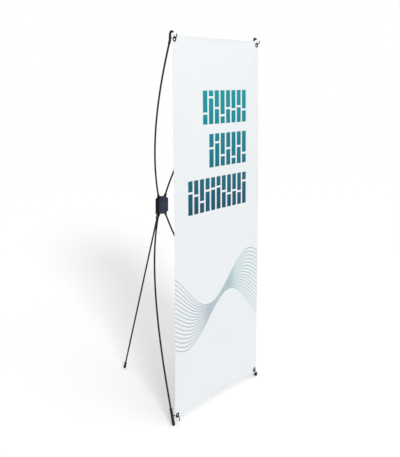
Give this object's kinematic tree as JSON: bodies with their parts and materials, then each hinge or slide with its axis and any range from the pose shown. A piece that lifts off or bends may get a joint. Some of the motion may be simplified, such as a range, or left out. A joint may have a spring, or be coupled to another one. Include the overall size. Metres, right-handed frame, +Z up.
{
  "type": "banner stand",
  "caption": "Free-standing X-frame stand: bowed poles pivot in a hub behind a tall printed sheet hooked by its corner eyelets, and a leg props it.",
  "frame": {"origin": "on the floor, midway between the front and rear extremes of the stand, on its left-right centre line", "axes": "+Z up along the sheet's height, +X to the right as the printed face is read, -Y the way the printed face looks"},
  "size_m": [0.6254, 0.618, 1.6371],
  "materials": {
    "vinyl": "matt white PVC print sheet",
    "moulding": "satin dark grey ABS",
    "plastic": "satin black nylon",
    "fibreglass": "smooth black fibreglass",
    "wire_steel": "bright zinc-plated wire",
    "nickel": "nickel-plated steel",
    "rivet_steel": "dark zinc-plated steel"
  },
  "bodies": {
    "hub": {"banner_sheet": "vinyl", "hub_front_cover": "moulding", "hub_rear_cover": "moulding", "hub_screw_lower": "rivet_steel", "hub_screw_upper": "rivet_steel", "upper_left_pivot_rivet": "rivet_steel", "upper_right_pivot_rivet": "rivet_steel", "lower_left_pivot_rivet": "rivet_steel", "lower_right_pivot_rivet": "rivet_steel", "rear_leg_hinge_pin": "rivet_steel"},
    "upper_left_arm": {"upper_left_socket": "plastic", "upper_left_pole": "fibreglass", "upper_left_end_cap": "plastic", "upper_left_hook": "wire_steel", "upper_left_eyelet": "nickel", "upper_left_eyelet_washer": "nickel"},
    "upper_right_arm": {"upper_right_socket": "plastic", "upper_right_pole": "fibreglass", "upper_right_end_cap": "plastic", "upper_right_hook": "wire_steel", "upper_right_eyelet": "nickel", "upper_right_eyelet_washer": "nickel"},
    "lower_left_arm": {"lower_left_socket": "plastic", "lower_left_pole": "fibreglass", "lower_left_foot_cap": "plastic", "lower_left_hook": "wire_steel", "lower_left_eyelet": "nickel", "lower_left_eyelet_washer": "nickel"},
    "lower_right_arm": {"lower_right_socket": "plastic", "lower_right_pole": "fibreglass", "lower_right_foot_cap": "plastic", "lower_right_hook": "wire_steel", "lower_right_eyelet": "nickel", "lower_right_eyelet_washer": "nickel"},
    "rear_leg": {"rear_leg_socket": "plastic", "rear_leg_pole": "fibreglass", "rear_leg_foot": "plastic"}
  },
  "joints": [
    {"name": "upper_left_fold", "type": "hinge", "parent": "hub", "child": "upper_left_arm", "pos_m": [-0.0148, 0.04366, 0.88237], "axis": [0, 1, 0], "range_deg": [0, 18], "deforming": ["banner_sheet"]},
    {"name": "upper_right_fold", "type": "hinge", "parent": "hub", "child": "upper_right_arm", "pos_m": [0.0148, 0.04366, 0.88237], "axis": [0, 1, 0], "range_deg": [-18, 0]},
    {"name": "lower_left_fold", "type": "hinge", "parent": "hub", "child": "lower_left_arm", "pos_m": [-0.01378, 0.04271, 0.84335], "axis": [0, 1, 0], "range_deg": [-18, 0]},
    {"name": "lower_right_fold", "type": "hinge", "parent": "hub", "child": "lower_right_arm", "pos_m": [0.01378, 0.04271, 0.84335], "axis": [0, 1, 0], "range_deg": [0, 18]},
    {"name": "rear_leg_fold", "type": "hinge", "parent": "hub", "child": "rear_leg", "pos_m": [0, 0.06445, 0.8243], "axis": [-1, 0, 0], "range_deg": [0, 16]}
  ],
  "couplings": [
    {"joint": "upper_right_fold", "follows": "upper_left_fold", "ratio": -1},
    {"joint": "lower_left_fold", "follows": "upper_left_fold", "ratio": -1},
    {"joint": "lower_right_fold", "follows": "upper_left_fold", "ratio": 1}
  ]
}
